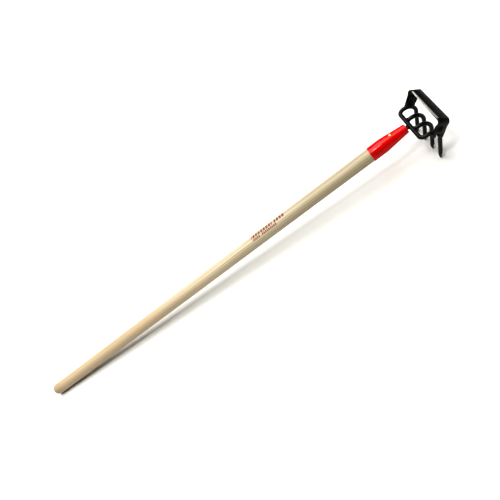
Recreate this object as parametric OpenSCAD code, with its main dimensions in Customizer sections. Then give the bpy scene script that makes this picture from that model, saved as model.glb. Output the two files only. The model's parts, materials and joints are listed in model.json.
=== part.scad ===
// Two-sided garden hoe on a long wooden handle. One side of the head is a
// four-tine cultivator, the other side is a stirrup blade that rocks on two bolts.
// The tool lies with its tines down: the tine tips and the handle's butt touch z = 0.
// +X runs along the tool from the butt to the head, +Z is up, millimetres.

/* [Handle] */
// Length of the wooden handle, with the end that is hidden in the ferrule
handle_len = 1219; // [900:1:1600]
// Diameter of the handle
handle_d = 33.3; // [28:0.1:40]
// Radius that rounds the butt of the handle
butt_round = 14; // [4:0.5:14]
// Length of handle that goes into the ferrule
socket_depth = 67; // [50:1:72]
// Depth by which the wood is turned down where the ferrule sits
seat_step = 0.3; // [0.1:0.1:1]

/* [Ferrule] */
// Length of the steel ferrule
ferrule_len = 94; // [85:1:140]
// Wall of the ferrule
ferrule_wall = 1.4; // [1:0.1:2.5]
// Length of the ferrule's straight part, from the rim
ferrule_straight = 34; // [20:1:45]
// Diameter of the ferrule's nose
nose_d = 22.6; // [18:0.1:27]
// Diameter of the cross rivet
rivet_d = 5; // [3:0.1:6]
// Distance from the ferrule's nose back to the rivet
rivet_back = 37; // [32:1:55]
// Turn of the rivet about the handle, from straight up
rivet_turn = 0; // [0:1:90]

/* [Tines] */
// Diameter of the steel rod that the tines are bent from
rod_d = 9.5; // [7.9:0.1:11]
// Distance from the ferrule's nose to the middle of the bridge rod
bridge_x = 8.6; // [7:0.1:9]
// Distance between the two outer tines, centre to centre
outer_gauge = 106; // [90:1:140]
// Distance between the two inner tines, centre to centre
inner_gauge = 34; // [30:1:42]
// Bend radius of the bow in plan, to the rod's centre
outer_bend_r = 11; // [8:0.1:16]
// Bend radius of a tine where it turns down, to the rod's centre
tine_bend_r = 23; // [19:0.5:28]
// Straight leg of an outer tine, between its bend in plan and its bend downwards
tine_leg = 0.8; // [0.8:0.1:20]
// Backward lean of the tines, from square to the handle
tine_lean = 18; // [5:1:30]
// Length of a tine's straight part, down to the tip
tine_straight = 61; // [45:1:90]
// Length of the four-sided point
point_len = 16; // [12:1:44]
// Half width of the point at its very end
point_half = 1.4; // [0.8:0.1:2]
// Bead radius of the welds round the tang and round the inner tines
weld_r = 1.9; // [1.5:0.1:2.2]

/* [Stirrup] */
// Width of the strap that the stirrup is bent from
strap_w = 25.4; // [22:0.1:32]
// Thickness of the strap
strap_t = 3.2; // [2.5:0.1:4]
// How much further out the blade's corners stand than the arms, on each side
arm_flare = 2; // [0:0.1:3]
// Distance from the pivot to the middle of the blade's thickness
stirrup_reach = 24; // [22:0.5:60]
// Distance from the pivot to the lower end of an arm
arm_tail = 19; // [18.5:0.5:22]
// Outside bend radius at the blade's corners
strap_bend_r = 9; // [5:0.5:9]
// Angle between the arms and the handle with the stirrup on its front stop
arm_angle = 49.7; // [40:0.1:60]
// Swing from the front stop to the back stop
swing = 22; // [10:1:24]
// Depth of the ground bevel on both edges of the blade
bevel_w = 4.5; // [4:0.5:9]
// Thickness left at the ground edge
edge_t = 0.8; // [0.5:0.1:1.5]

/* [Pivots] */
// Distance from the middle of the tine rod to the pivot bolt
pivot_off = 13; // [12.5:0.1:16]
// Diameter of the bolt's shoulder, on which an arm turns
shoulder_d = 10; // [9:0.1:11]
// Diameter of the bolt's thread
thread_d = 8; // [6:0.1:8.5]
// Thickness of the lugs
lug_t = 4; // [3:0.1:4.3]
// Thickness of all washers
washer_t = 1.2; // [0.8:0.1:1.6]
// Outside diameter of all washers
washer_d = 18; // [15:0.5:19]
// Diameter of the bolt's round head
bolt_head_d = 15; // [12.5:0.1:17]
// Height of the bolt's round head
bolt_head_h = 3.6; // [2.5:0.1:5]
// Size of the nut across its flats
nut_af = 13; // [11:0.1:13.4]
// Height of the nut
nut_h = 4; // [3:0.1:8]
// Distance from the middle of the tine rod out to a lug's inner face
lug_set = 3.1; // [2:0.1:4]
// Diameter of the stop pins
stop_d = 5; // [4:0.1:6]

/* [Hidden] */
$fn = 64;

// Clearances
fit = 0.05;
side_gap = 0.15;
stop_gap = 0.15;
lug_gap = 0.3;
knee_gap = 0.5;
eps = 0.01;
big = 60;

// Handle and ferrule, along X, with the ferrule's nose at x = 0
handle_r = handle_d / 2;
rim_x = -ferrule_len;
butt_x = rim_x + socket_depth - handle_len;
wood_end_x = rim_x + socket_depth;
seat_r = handle_r - seat_step;
bore_r = seat_r + fit;
rim_r = bore_r + ferrule_wall;
nose_r = nose_d / 2;
cone_x = rim_x + ferrule_straight;
nose_wall = 4;
nose_in_r = nose_r - ferrule_wall;
// Radius of the ferrule's inside at x, on its tapered part
function cone_r(x) = bore_r + (nose_in_r - bore_r) * (x - cone_x) / -cone_x;
wood_end_r = cone_r(wood_end_x) - fit;

// Tang: the rod that holds the head in the handle
rod_r = rod_d / 2;
tang_end_x = rim_x - 16;
tang_point = 14;
rivet_r = rivet_d / 2;
rivet_x = -rivet_back;
rivet_head_r = rivet_r * 1.5;
rivet_head_h = 1.3;
// The ferrule's radius where the rivet leaves it, and the foot of the rivet's heads,
// which bite into the slope on its higher side
rivet_surface_r = cone_r(rivet_x) + ferrule_wall;
rivet_bite = 0.25;
rivet_foot_r = cone_r(rivet_x - rivet_head_r) + ferrule_wall - rivet_bite;

// Tines, whose bend downwards starts at tine_bend_x
tine_bend_x = bridge_x + outer_bend_r + tine_leg;
outer_y = outer_gauge / 2;
inner_y = inner_gauge / 2;
rod_gap = 0.2;
joint_gap = 0.3;
joint_rise = 0.06;
// Tang and inner tines end just short of the bridge, inside their welds
tang_front_x = bridge_x - rod_r - rod_gap;
inner_foot_x = bridge_x + rod_r + rod_gap;
tine_turn = 90 + tine_lean;
tine_end_x = tine_bend_x + tine_bend_r * sin(tine_turn);
tine_end_z = -tine_bend_r * (1 - cos(tine_turn));
tip_x = tine_end_x - tine_straight * sin(tine_lean);
tip_z = tine_end_z - tine_straight * cos(tine_lean);

// Pivot and stirrup, seen from the side. The arms point along arm_angle, and their
// middle line crosses the outer tines' bend; the pivot stands off that bend.
bend_c = [tine_bend_x, -tine_bend_r];
pivot_turn = 39.8;
pivot_x = bend_c[0] + (tine_bend_r + pivot_off) * sin(90 - pivot_turn);
pivot_z = bend_c[1] + (tine_bend_r + pivot_off) * cos(90 - pivot_turn);

// Stack of pieces across each pivot, from the tine outwards
lug_in_y = outer_y + lug_set;
lug_out_y = lug_in_y + lug_t;
wear_y = lug_out_y + eps;
strap_in_y = wear_y + washer_t + side_gap;
strap_out_y = strap_in_y + strap_t;
head_washer_y = strap_out_y + side_gap;
bolt_head_y = head_washer_y + washer_t + eps;
hole_r = shoulder_d / 2 + fit;
lug_r = 10;
thread_proud = 1;
nut_r = nut_af / 2 / cos(30);

// Notch in the lower end of each arm, over the stop pin
stop_r = stop_d / 2;
stop_reach = 14.5;
notch_half = stop_r + stop_gap + stop_reach * sin(swing / 2);
notch_mid = stop_reach - 1;
// The pin touches the front wall of the notch when the stirrup is on its front stop
stop_side = -(notch_half - stop_r - stop_gap);
stop_x = pivot_x - stop_reach * cos(arm_angle) - stop_side * sin(arm_angle);
stop_z = pivot_z - stop_reach * sin(arm_angle) + stop_side * cos(arm_angle);

// Lug's foot on the stop pin's side, which ends short of the pin
stop_drop = (stop_x - pivot_x) * sin(pivot_turn) - (stop_z - pivot_z) * cos(pivot_turn);
foot_low = stop_drop - stop_r - lug_gap;

// Outer face of the blade, and the height where the arms start to lean outwards, just
// past the head washer
blade_top = stirrup_reach + strap_t / 2;
arm_knee = washer_d / 2 + knee_gap;

// Lying pose: the tips and the butt's rounding rest on the same plane
butt_c = [butt_x + butt_round, -(handle_r - butt_round)];
span = norm([tip_x - butt_c[0], tip_z - butt_c[1]]);
lie = atan2(butt_c[1] - tip_z, tip_x - butt_c[0]) - asin(butt_round / span);

// Box of the tool as it lies, used to set the origin under its middle
blade_front_x = pivot_x + blade_top * cos(arm_angle) + strap_w / 2 * sin(arm_angle);
blade_front_z = pivot_z + blade_top * sin(arm_angle) - strap_w / 2 * cos(arm_angle);
floor_z = tip_x * sin(lie) + tip_z * cos(lie);
back_x = butt_c[0] * cos(lie) + butt_c[1] * sin(lie) - butt_round;
front_x = blade_front_x * cos(lie) - blade_front_z * sin(lie);

// Puts a piece that is drawn along the handle into the lying pose
module lying() {
    translate([-(back_x + front_x) / 2, 0, -floor_z])
        rotate([0, -lie, 0])
            children();
}

// Turns a drawing that stands along Z so that it runs along +X
module along_x() {
    rotate([0, 90, 0])
        children();
}

// Turns a drawing that stands along Z so that it runs along +Y
module along_y() {
    rotate([-90, 0, 0])
        children();
}

// A side view drawing (X right, Z up) made into a plate from y to y + t
module side_plate(y, t) {
    translate([0, y + t, 0])
        rotate([90, 0, 0])
            linear_extrude(height = t)
                children();
}

// Wooden handle: round butt, turned seat and cone at the ferrule end, drilled for the tang
module handle() {
    color("burlywood")
        lying()
            difference() {
                along_x() handle_blank();
                translate([tang_end_x - fit, 0, 0])
                    along_x() cylinder(r = rod_r + fit, h = handle_len);
                rivet_hole(rivet_r + fit);
            }
}

// Outline of the handle, revolved
module handle_blank() {
    translate([0, 0, butt_x])
        rotate_extrude($fn = 96) {
            square([handle_r - butt_round, handle_len / 2]);
            translate([0, butt_round])
                square([handle_r, rim_x - butt_x - butt_round]);
            translate([0, rim_x - butt_x])
                square([seat_r, cone_x - rim_x]);
            intersection() {
                translate([handle_r - butt_round, butt_round])
                    circle(r = butt_round);
                square([handle_r, butt_round + 1]);
            }
        }
    translate([0, 0, cone_x])
        cylinder(r1 = seat_r, r2 = wood_end_r, h = wood_end_x - cone_x, $fn = 96);
}

// Hole for the rivet, right across the handle
module rivet_hole(r) {
    translate([rivet_x, 0, 0])
        rotate([-rivet_turn, 0, 0])
            cylinder(r = r, h = big, center = true);
}

// Pressed steel ferrule: straight at the rim, tapered to a closed nose
module ferrule() {
    color("red")
        lying()
            difference() {
                along_x() ferrule_shell();
                translate([-nose_wall - 1, 0, 0])
                    along_x() cylinder(r = rod_r + fit, h = nose_wall + 2);
                rivet_hole(rivet_r + fit);
            }
}

// Outline of the ferrule's wall, revolved, with a rounded rim and nose edge
module ferrule_shell() {
    nose_edge = 2;
    rotate_extrude($fn = 96)
        difference() {
            union() {
                polygon([[0, rim_x], [rim_r, rim_x], [rim_r, cone_x],
                    [nose_r, -nose_edge], [nose_r - nose_edge, 0], [0, 0]]);
                translate([nose_r - nose_edge, -nose_edge])
                    circle(r = nose_edge);
            }
            polygon([[-1, rim_x - 1], [bore_r, rim_x - 1], [bore_r, cone_x],
                [cone_r(-nose_wall), -nose_wall], [-1, -nose_wall]]);
            translate([-big, -big])
                square([big, 2 * big]);
        }
}

// Rivet through ferrule, wood and tang, with a low domed head at each end
module ferrule_rivet() {
    color("khaki")
        lying()
            translate([rivet_x, 0, 0])
                rotate([-rivet_turn, 0, 0]) {
                    cylinder(r = rivet_r, h = 2 * rivet_surface_r + 1, center = true);
                    for (side = [0, 180])
                        rotate([side, 0, 0])
                            translate([0, 0, rivet_foot_r])
                                rivet_head();
                }
}

// Low dome with a flat underside
module rivet_head() {
    ball_r = (pow(rivet_head_r, 2) + pow(rivet_head_h, 2)) / (2 * rivet_head_h);
    intersection() {
        translate([0, 0, rivet_head_h - ball_r])
            sphere(r = ball_r);
        cylinder(r = rivet_head_r + 1, h = rivet_head_h + 1);
    }
}

// Steel tang from the bridge back into the handle, with a blunt point
module tang() {
    color("dimgray")
        lying()
            difference() {
                union() {
                    translate([tang_end_x + tang_point, 0, 0])
                        along_x()
                            cylinder(r = rod_r, h = tang_front_x - tang_end_x - tang_point);
                    translate([tang_end_x, 0, 0])
                        along_x() cylinder(r1 = rod_r / 2, r2 = rod_r, h = tang_point);
                }
                rivet_hole(rivet_r + fit);
            }
}

// A straight run of rod, drawn along +Z. It stops just short of both ends, where a
// rod_joint closes the gap.
module rod_run(len) {
    translate([0, 0, joint_gap])
        cylinder(r = rod_r, h = len - 2 * joint_gap);
}

// A bend of rod in the XY plane about the origin, from +X through the given angle
module rod_bend(r, turn) {
    trim = joint_gap / r * 180 / PI;
    rotate([0, 0, trim])
        rotate_extrude(angle = turn - 2 * trim)
            translate([r, 0])
                circle(r = rod_r);
}

// Joint between two runs or bends, with its poles along the rod
module rod_joint() {
    sphere(r = rod_r + joint_rise);
}

// Half of the bow: half of its bridge, its plan bend, its leg and its tine
module half_bow() {
    leg_y = outer_y - outer_bend_r;
    leg_x = bridge_x + outer_bend_r;
    translate([bridge_x, 0, 0])
        along_y() {
            rod_joint();
            rod_run(leg_y);
            translate([0, 0, leg_y])
                rod_joint();
        }
    translate([leg_x, leg_y, 0])
        rotate([0, 0, 90])
            rod_bend(outer_bend_r, 90);
    translate([leg_x, outer_y, 0])
        along_x() {
            rod_joint();
            rod_run(tine_leg);
            translate([0, 0, tine_leg])
                rod_joint();
        }
    translate([tine_bend_x, outer_y, 0])
        tine();
}

// Bend and straight part of one tine, with a four-sided point. The tip is trimmed
// level with the ground that the tool lies on.
module tine() {
    run_out = 6;
    translate([0, 0, -tine_bend_r])
        rotate([90, 0, 0])
            rotate([0, 0, 90 - tine_turn])
                rod_bend(tine_bend_r, tine_turn);
    end_x = tine_end_x - tine_bend_x;
    translate([end_x, 0, tine_end_z])
        rotate([0, 180 + tine_lean, 0])
            rod_joint();
    difference() {
        translate([end_x, 0, tine_end_z])
            rotate([0, 180 + tine_lean, 0])
                difference() {
                    rod_run(tine_straight + run_out);
                    translate([0, 0, tine_straight])
                        point_cuts();
                }
        translate([tip_x - tine_bend_x, 0, tip_z])
            rotate([0, lie, 0])
                translate([-big, -big, -2 * big])
                    cube([2 * big, 2 * big, 2 * big]);
    }
}

// Four flat cuts that draw the rod out to a point, in the tine's own frame
module point_cuts() {
    draw = atan((rod_r - point_half) / point_len);
    for (quarter = [45 : 90 : 315])
        rotate([0, 0, quarter])
            translate([point_half, 0, 0])
                rotate([0, -draw, 0])
                    translate([0, -big / 2, -big])
                        cube([big, big, 2 * big]);
}

// Outer bow: the bridge and the two outer tines, bent from one rod
module outer_tine_bow() {
    color("black")
        lying()
            difference() {
                union() {
                    half_bow();
                    mirror([0, 1, 0])
                        half_bow();
                }
                for (side = [1, -1])
                    translate([stop_x, side * (outer_y - 1), stop_z])
                        rotate([-90 * side, 0, 0])
                            cylinder(r = stop_r + fit, h = big);
            }
}

// Inner tine: a leg that stands square on the bridge, then the same bend and point
module inner_tine() {
    inner_leg = tine_bend_x - inner_foot_x;
    translate([inner_foot_x, inner_y, 0])
        along_x() {
            cylinder(r = rod_r, h = inner_leg - joint_gap);
            translate([0, 0, inner_leg])
                rod_joint();
        }
    translate([tine_bend_x, inner_y, 0])
        tine();
}

module inner_tine_left() {
    color("black")
        lying() inner_tine();
}

module inner_tine_right() {
    color("black")
        lying() mirror([0, 1, 0]) inner_tine();
}

// Fillet weld round the end of a rod that meets the bridge at x, y
module foot_weld(x, y) {
    bead_sink = 0.6;
    translate([x, y, 0])
        along_x()
            rotate_extrude()
                translate([rod_r - bead_sink, 0])
                    circle(r = weld_r);
}

module tine_weld_left() {
    color("black")
        lying() foot_weld(inner_foot_x, inner_y);
}

module tine_weld_right() {
    color("black")
        lying() mirror([0, 1, 0]) foot_weld(inner_foot_x, inner_y);
}

module neck_weld() {
    color("black")
        lying() foot_weld(tang_front_x, 0);
}

// Lug: an ear round the bolt hole with a foot that follows the tine's bend
module lug_blank() {
    difference() {
        side_plate(lug_in_y, lug_t) {
            translate([pivot_x, pivot_z])
                circle(r = lug_r);
            translate([pivot_x, pivot_z])
                rotate(pivot_turn)
                    translate([-pivot_off, -foot_low])
                        square([pivot_off, foot_low + lug_r]);
        }
        translate([tine_bend_x, outer_y, -tine_bend_r])
            rotate([90, 0, 0])
                rotate_extrude()
                    translate([tine_bend_r, 0])
                        circle(r = rod_r + fit);
        translate([tine_bend_x, lug_in_y - 1, -tine_bend_r])
            along_y() cylinder(r = tine_bend_r, h = lug_t + 2);
        translate([pivot_x, lug_in_y - 1, pivot_z])
            along_y() cylinder(r = thread_d / 2 + fit, h = lug_t + 2);
    }
}

module pivot_lug_left() {
    color("black")
        lying() lug_blank();
}

module pivot_lug_right() {
    color("black")
        lying() mirror([0, 1, 0]) lug_blank();
}

// Bead along the foot of a lug, following the tine's bend on its inboard side
module lug_bead() {
    bead_r = 1.4;
    low_turn = asin(foot_low / (tine_bend_r + rod_r));
    high_turn = 17;
    translate([tine_bend_x, lug_in_y, -tine_bend_r])
        rotate([90, 0, 0])
            rotate([0, 0, pivot_turn - low_turn])
                rotate_extrude(angle = low_turn + high_turn)
                    translate([tine_bend_r + rod_r - 0.8, 0])
                        circle(r = bead_r, $fn = 24);
}

module lug_weld_left() {
    color("black")
        lying() lug_bead();
}

module lug_weld_right() {
    color("black")
        lying() mirror([0, 1, 0]) lug_bead();
}

// Stop pin, pressed into the outer tine, that stands in the notch of the arm
module stop_pin() {
    translate([stop_x, outer_y - 1, stop_z])
        along_y() cylinder(r = stop_r, h = strap_out_y + 1 - outer_y + 1);
}

module stop_pin_left() {
    color("black")
        lying() stop_pin();
}

module stop_pin_right() {
    color("black")
        lying() mirror([0, 1, 0]) stop_pin();
}

// Flat washer on the pivot, from y outwards
module pivot_washer(y) {
    translate([pivot_x, y, pivot_z])
        along_y()
            difference() {
                cylinder(r = washer_d / 2, h = washer_t);
                translate([0, 0, -1])
                    cylinder(r = shoulder_d / 2 + 2 * fit, h = washer_t + 2);
            }
}

module wear_washer_left() {
    color("gray")
        lying() pivot_washer(wear_y);
}

module wear_washer_right() {
    color("gray")
        lying() mirror([0, 1, 0]) pivot_washer(wear_y);
}

module head_washer_left() {
    color("gray")
        lying() pivot_washer(head_washer_y);
}

module head_washer_right() {
    color("gray")
        lying() mirror([0, 1, 0]) pivot_washer(head_washer_y);
}

// Half of the strap's bent outline: X across the tool, Y from the pivot to the blade
module strap_outline() {
    end_half = strap_out_y + arm_flare;
    bend_y = blade_top - strap_bend_r;
    translate([strap_in_y, -arm_tail])
        square([strap_t, arm_tail + arm_knee]);
    polygon([[strap_in_y, arm_knee], [strap_out_y, arm_knee],
        [end_half, bend_y], [end_half - strap_t, bend_y]]);
    translate([end_half - strap_bend_r, bend_y])
        intersection() {
            difference() {
                circle(r = strap_bend_r);
                circle(r = strap_bend_r - strap_t);
            }
            square(strap_bend_r + 1);
        }
    translate([0, blade_top - strap_t])
        square([end_half - strap_bend_r, strap_t]);
}

// Stirrup: one strap bent into a loop, ground to an edge on both sides of the blade
module stirrup_loop() {
    color("black")
        lying()
            translate([pivot_x, 0, pivot_z])
                rotate([0, 90 - arm_angle, 0])
                    difference() {
                        translate([-strap_w / 2, 0, 0])
                            rotate([0, 90, 0])
                                rotate([0, 0, 90])
                                    linear_extrude(height = strap_w) {
                                        strap_outline();
                                        mirror([1, 0]) strap_outline();
                                    }
                        across_arms() cylinder(r = hole_r, h = 4 * big);
                        arm_notch();
                        blade_grind();
                    }
}

// Carries a cut right across both arms, along Y
module across_arms() {
    translate([0, -2 * big, 0])
        along_y() children();
}

// Arched notch across both arms, open at their lower ends
module arm_notch() {
    translate([0, 0, -notch_mid])
        across_arms() cylinder(r = notch_half, h = 4 * big);
    translate([-notch_half, -2 * big, -arm_tail - 1])
        cube([2 * notch_half, 4 * big, arm_tail + 1 - notch_mid]);
}

// Two ground bevels: on the outer face of the rear edge and the inner face of the
// front edge
module blade_grind() {
    grind_len = 2 * (strap_out_y + arm_flare - strap_bend_r) - 4;
    slope = atan((strap_t - edge_t) / bevel_w);
    translate([-strap_w / 2, 0, blade_top - strap_t + edge_t])
        rotate([0, -slope, 0])
            translate([-bevel_w, -grind_len / 2, 0])
                cube([3 * bevel_w, grind_len, big]);
    translate([strap_w / 2, 0, blade_top - edge_t])
        rotate([0, -slope, 0])
            translate([-2 * bevel_w, -grind_len / 2, -big / 4])
                cube([3 * bevel_w, grind_len, big / 4]);
}

// Shoulder bolt: low domed head outside, shoulder through the arm, thread in the lug
module bolt_blank() {
    ball_r = (pow(bolt_head_d / 2, 2) + pow(bolt_head_h, 2)) / (2 * bolt_head_h);
    shoulder_y = lug_out_y + eps;
    thread_end_y = lug_in_y - nut_h - thread_proud;
    translate([pivot_x, 0, pivot_z]) {
        translate([0, shoulder_y, 0])
            along_y() cylinder(r = shoulder_d / 2, h = bolt_head_y - shoulder_y + 0.5);
        translate([0, thread_end_y, 0])
            along_y() cylinder(r = thread_d / 2, h = shoulder_y - thread_end_y + 0.5);
        translate([0, bolt_head_y, 0])
            along_y()
                intersection() {
                    translate([0, 0, bolt_head_h - ball_r])
                        sphere(r = ball_r);
                    cylinder(r = bolt_head_d, h = bolt_head_h + 1);
                }
    }
}

module pivot_bolt_left() {
    color("dimgray")
        lying() bolt_blank();
}

module pivot_bolt_right() {
    color("dimgray")
        lying() mirror([0, 1, 0]) bolt_blank();
}

// Hexagon nut on the inboard side of a lug
module nut_blank() {
    translate([pivot_x, lug_in_y - eps - nut_h, pivot_z])
        along_y()
            difference() {
                cylinder(r = nut_r, h = nut_h, $fn = 6);
                translate([0, 0, -1])
                    cylinder(r = thread_d / 2 + fit, h = nut_h + 2, $fn = 48);
            }
}

module pivot_nut_left() {
    color("dimgray")
        lying() nut_blank();
}

module pivot_nut_right() {
    color("dimgray")
        lying() mirror([0, 1, 0]) nut_blank();
}

handle();
ferrule();
ferrule_rivet();
tang();
outer_tine_bow();
inner_tine_left();
inner_tine_right();
tine_weld_left();
tine_weld_right();
neck_weld();
pivot_lug_left();
pivot_lug_right();
lug_weld_left();
lug_weld_right();
stop_pin_left();
stop_pin_right();
wear_washer_left();
wear_washer_right();
stirrup_loop();
head_washer_left();
head_washer_right();
pivot_bolt_left();
pivot_bolt_right();
pivot_nut_left();
pivot_nut_right();
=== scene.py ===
import json
import math

import bmesh
import bpy
from mathutils import Matrix, Quaternion, Vector

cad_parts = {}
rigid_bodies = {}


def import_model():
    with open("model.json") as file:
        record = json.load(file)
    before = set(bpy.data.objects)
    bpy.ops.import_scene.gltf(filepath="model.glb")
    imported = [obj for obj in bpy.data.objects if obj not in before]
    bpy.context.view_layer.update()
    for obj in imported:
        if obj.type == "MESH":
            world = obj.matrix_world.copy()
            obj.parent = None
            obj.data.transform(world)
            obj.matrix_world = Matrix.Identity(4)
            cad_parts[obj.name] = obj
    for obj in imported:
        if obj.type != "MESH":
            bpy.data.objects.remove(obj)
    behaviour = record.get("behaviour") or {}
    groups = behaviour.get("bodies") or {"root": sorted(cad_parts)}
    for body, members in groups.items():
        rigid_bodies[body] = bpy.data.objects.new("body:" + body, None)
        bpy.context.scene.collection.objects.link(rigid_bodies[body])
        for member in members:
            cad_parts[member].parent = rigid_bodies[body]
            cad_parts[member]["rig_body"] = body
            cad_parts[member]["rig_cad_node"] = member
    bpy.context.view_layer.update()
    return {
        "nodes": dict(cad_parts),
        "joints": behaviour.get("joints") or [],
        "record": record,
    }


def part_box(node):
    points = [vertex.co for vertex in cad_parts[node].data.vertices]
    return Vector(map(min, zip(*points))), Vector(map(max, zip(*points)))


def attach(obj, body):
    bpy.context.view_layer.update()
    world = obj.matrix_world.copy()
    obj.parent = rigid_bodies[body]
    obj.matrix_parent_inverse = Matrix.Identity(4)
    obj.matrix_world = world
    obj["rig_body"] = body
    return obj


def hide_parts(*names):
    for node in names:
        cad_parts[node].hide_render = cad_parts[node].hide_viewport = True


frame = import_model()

# The room: a plain pale floor under soft studio light. A wide ceiling light comes from a little
# behind the tool, a small key lamp above its near side gives each round part a highlight, and
# a back lamp lights the far edges.

MM = 0.001


def hex_colour(code):
    """A colour written as sRGB hex, as the linear red, green, blue and alpha of a socket."""
    channels = [int(code[i:i + 2], 16) / 255 for i in (0, 2, 4)]
    linear = [c / 12.92 if c <= 0.04045 else ((c + 0.055) / 1.055) ** 2.4 for c in channels]
    return (*linear, 1.0)


def node(material, kind, inputs=None, **settings):
    """Adds a node with its settings. An input is given as a value or as the socket it reads."""
    tree = material.node_tree
    made = tree.nodes.new("ShaderNode" + kind)
    for name, value in settings.items():
        setattr(made, name, value)
    for name, value in (inputs or {}).items():
        if isinstance(value, bpy.types.NodeSocket):
            tree.links.new(value, made.inputs[name])
        else:
            made.inputs[name].default_value = value
    return made


def new_material(name):
    """A material with no nodes yet."""
    material = bpy.data.materials.new(name)
    material.use_nodes = True
    material.node_tree.nodes.clear()
    return material


def finished(material, surface):
    """The material, with its last shader joined to its output."""
    node(material, "OutputMaterial", {"Surface": surface.outputs["BSDF"]})
    return material


def per_metre(size):
    """A pattern's scale, from the size in millimetres of one of its spots, lines or ripples."""
    return 1 / (size * MM)


def clear_selection():
    """Leaves edit mode and deselects everything, the CAD parts included."""
    if bpy.context.object and bpy.context.object.mode != "OBJECT":
        bpy.ops.object.mode_set(mode="OBJECT")
    bpy.ops.object.select_all(action="DESELECT")


def pale_floor_paint():
    """Matt pale grey studio paint: even, with a faint cloudiness over a metre or so."""
    material = new_material("matt_pale_grey_studio_paint")
    place = node(material, "TexCoord").outputs["Object"]
    cloud_mm = 1250.0
    cloud = node(material, "TexNoise", {"Vector": place, "Scale": per_metre(cloud_mm), "Detail": 2.0})
    tone = node(material, "ValToRGB", {"Fac": cloud.outputs["Fac"]})
    tone.color_ramp.elements[0].color = hex_colour("D4D4D2")
    tone.color_ramp.elements[1].color = hex_colour("DADAD8")
    paint = node(material, "BsdfPrincipled", {
        "Base Color": tone.outputs["Color"], "Roughness": 0.9})
    return finished(material, paint)


clear_selection()
FLOOR_SIZE = 14.0
bpy.ops.mesh.primitive_grid_add(x_subdivisions=4, y_subdivisions=4, size=FLOOR_SIZE)
floor = bpy.context.object
floor.name = "floor"
floor.data.materials.append(pale_floor_paint())


def soft_lamp(name, kind, place, aim, size, power, colour):
    """A lamp that points at aim. Size is metres across, or radians for a SUN."""
    lamp = bpy.data.lights.new(name, kind)
    if kind == "SUN":
        lamp.angle = size
    else:
        lamp.shape = "SQUARE"
        lamp.size = size
    lamp.energy = power
    lamp.color = hex_colour(colour)[:3]
    stand = bpy.data.objects.new(name, lamp)
    stand.location = place
    stand.rotation_euler = (Vector(aim) - Vector(place)).to_track_quat("-Z", "Y").to_euler()
    bpy.context.scene.collection.objects.link(stand)


soft_lamp("ceiling", "SUN", (0.0, 0.8, 3.0), (0.0, 0.0, 0.0), 0.95, 3.4, "FFFEFA")
soft_lamp("key_lamp", "AREA", (0.1, -0.7, 3.0), (0.1, 0.0, 0.0), 0.45, 26.0, "FFFDF8")
soft_lamp("back_lamp", "AREA", (-0.9, 2.6, 1.9), (0.4, 0.0, 0.0), 1.2, 12.0, "FFFFFF")

sky = bpy.data.worlds.new("studio_walls")
sky.use_nodes = True
sky.node_tree.nodes["Background"].inputs["Color"].default_value = hex_colour("F3F5F8")
sky.node_tree.nodes["Background"].inputs["Strength"].default_value = 0.16
bpy.context.scene.world = sky
bpy.context.scene.view_settings.view_transform = "Standard"
bpy.context.scene.view_settings.look = "High Contrast"

CAMERA_PLACE = Vector((0.4645, -0.7831, 0.9069))
CAMERA_AIM = Vector((0.1186, -0.0035, 0.0500))
CAMERA_ROLL = math.radians(-51.84)
CAMERA_LENS = 34.04
view = bpy.data.cameras.new("camera")
view.lens = CAMERA_LENS
view.sensor_width = 36.0
view.clip_start = 0.02
camera = bpy.data.objects.new("camera", view)
camera.location = CAMERA_PLACE
camera.rotation_mode = "QUATERNION"
level = (CAMERA_AIM - CAMERA_PLACE).to_track_quat("-Z", "Y")
camera.rotation_quaternion = level @ Quaternion((0.0, 0.0, 1.0), CAMERA_ROLL)
bpy.context.scene.collection.objects.link(camera)
bpy.context.scene.camera = camera

# The handle: one length of straight ash, turned round and sanded, with a domed butt. Its
# head end is turned down and tapered to sit in the ferrule. Clear satin varnish, one print.

# Pieces are made along the handle's own line, X towards the head with 0 at the ferrule's
# nose and Z on the stirrup's side, and are then laid down into the tool's resting place.
grip = frame["record"]["mounts"][0]
along = -Vector(grip["axis"]).normalized()
LIE = math.atan2(along.z, along.x)
GRIP_LEN = grip["dims"]["length_mm"]
WOOD_R = grip["dims"]["r_mm"]
FERRULE_LEN = 94.0
nose = Vector(grip["pos_m"]) + along * (GRIP_LEN / 2 + FERRULE_LEN) * MM

RIM_X = -FERRULE_LEN
BUTT_ROUND = 14.0
BUTT_X = RIM_X - GRIP_LEN - BUTT_ROUND
SEAT_R = WOOD_R - 0.3
SEAT_END_X = RIM_X + 34.0
WOOD_END_X = RIM_X + 67.0
WOOD_END_R = 12.2


def take(piece):
    """Selects one piece alone, in object mode."""
    clear_selection()
    piece.select_set(True)
    bpy.context.view_layer.objects.active = piece


def edit(piece):
    """Opens a piece for editing, with all of its points selected."""
    take(piece)
    bpy.ops.object.mode_set(mode="EDIT")
    bpy.ops.mesh.select_mode(type="VERT")
    bpy.ops.mesh.select_all(action="SELECT")


def fix_place():
    """Writes the active piece's place, turn and size into its mesh."""
    bpy.ops.object.transform_apply(location=True, rotation=True, scale=True)


def begin(name):
    """Names the primitive that was just added, fixes its place and opens it for editing."""
    piece = bpy.context.object
    piece.name = name
    piece.data.name = name
    fix_place()
    edit(piece)
    return piece


def pick(piece, kind, test):
    """In edit mode, selects only the vertices, edges or faces that pass the test."""
    bpy.ops.mesh.select_mode(type=kind)
    bpy.ops.mesh.select_all(action="DESELECT")
    shape = bmesh.from_edit_mesh(piece.data)
    for part in {"VERT": shape.verts, "EDGE": shape.edges, "FACE": shape.faces}[kind]:
        if test(part):
            part.select_set(True)
    shape.select_flush_mode()
    bmesh.update_edit_mesh(piece.data)


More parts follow.
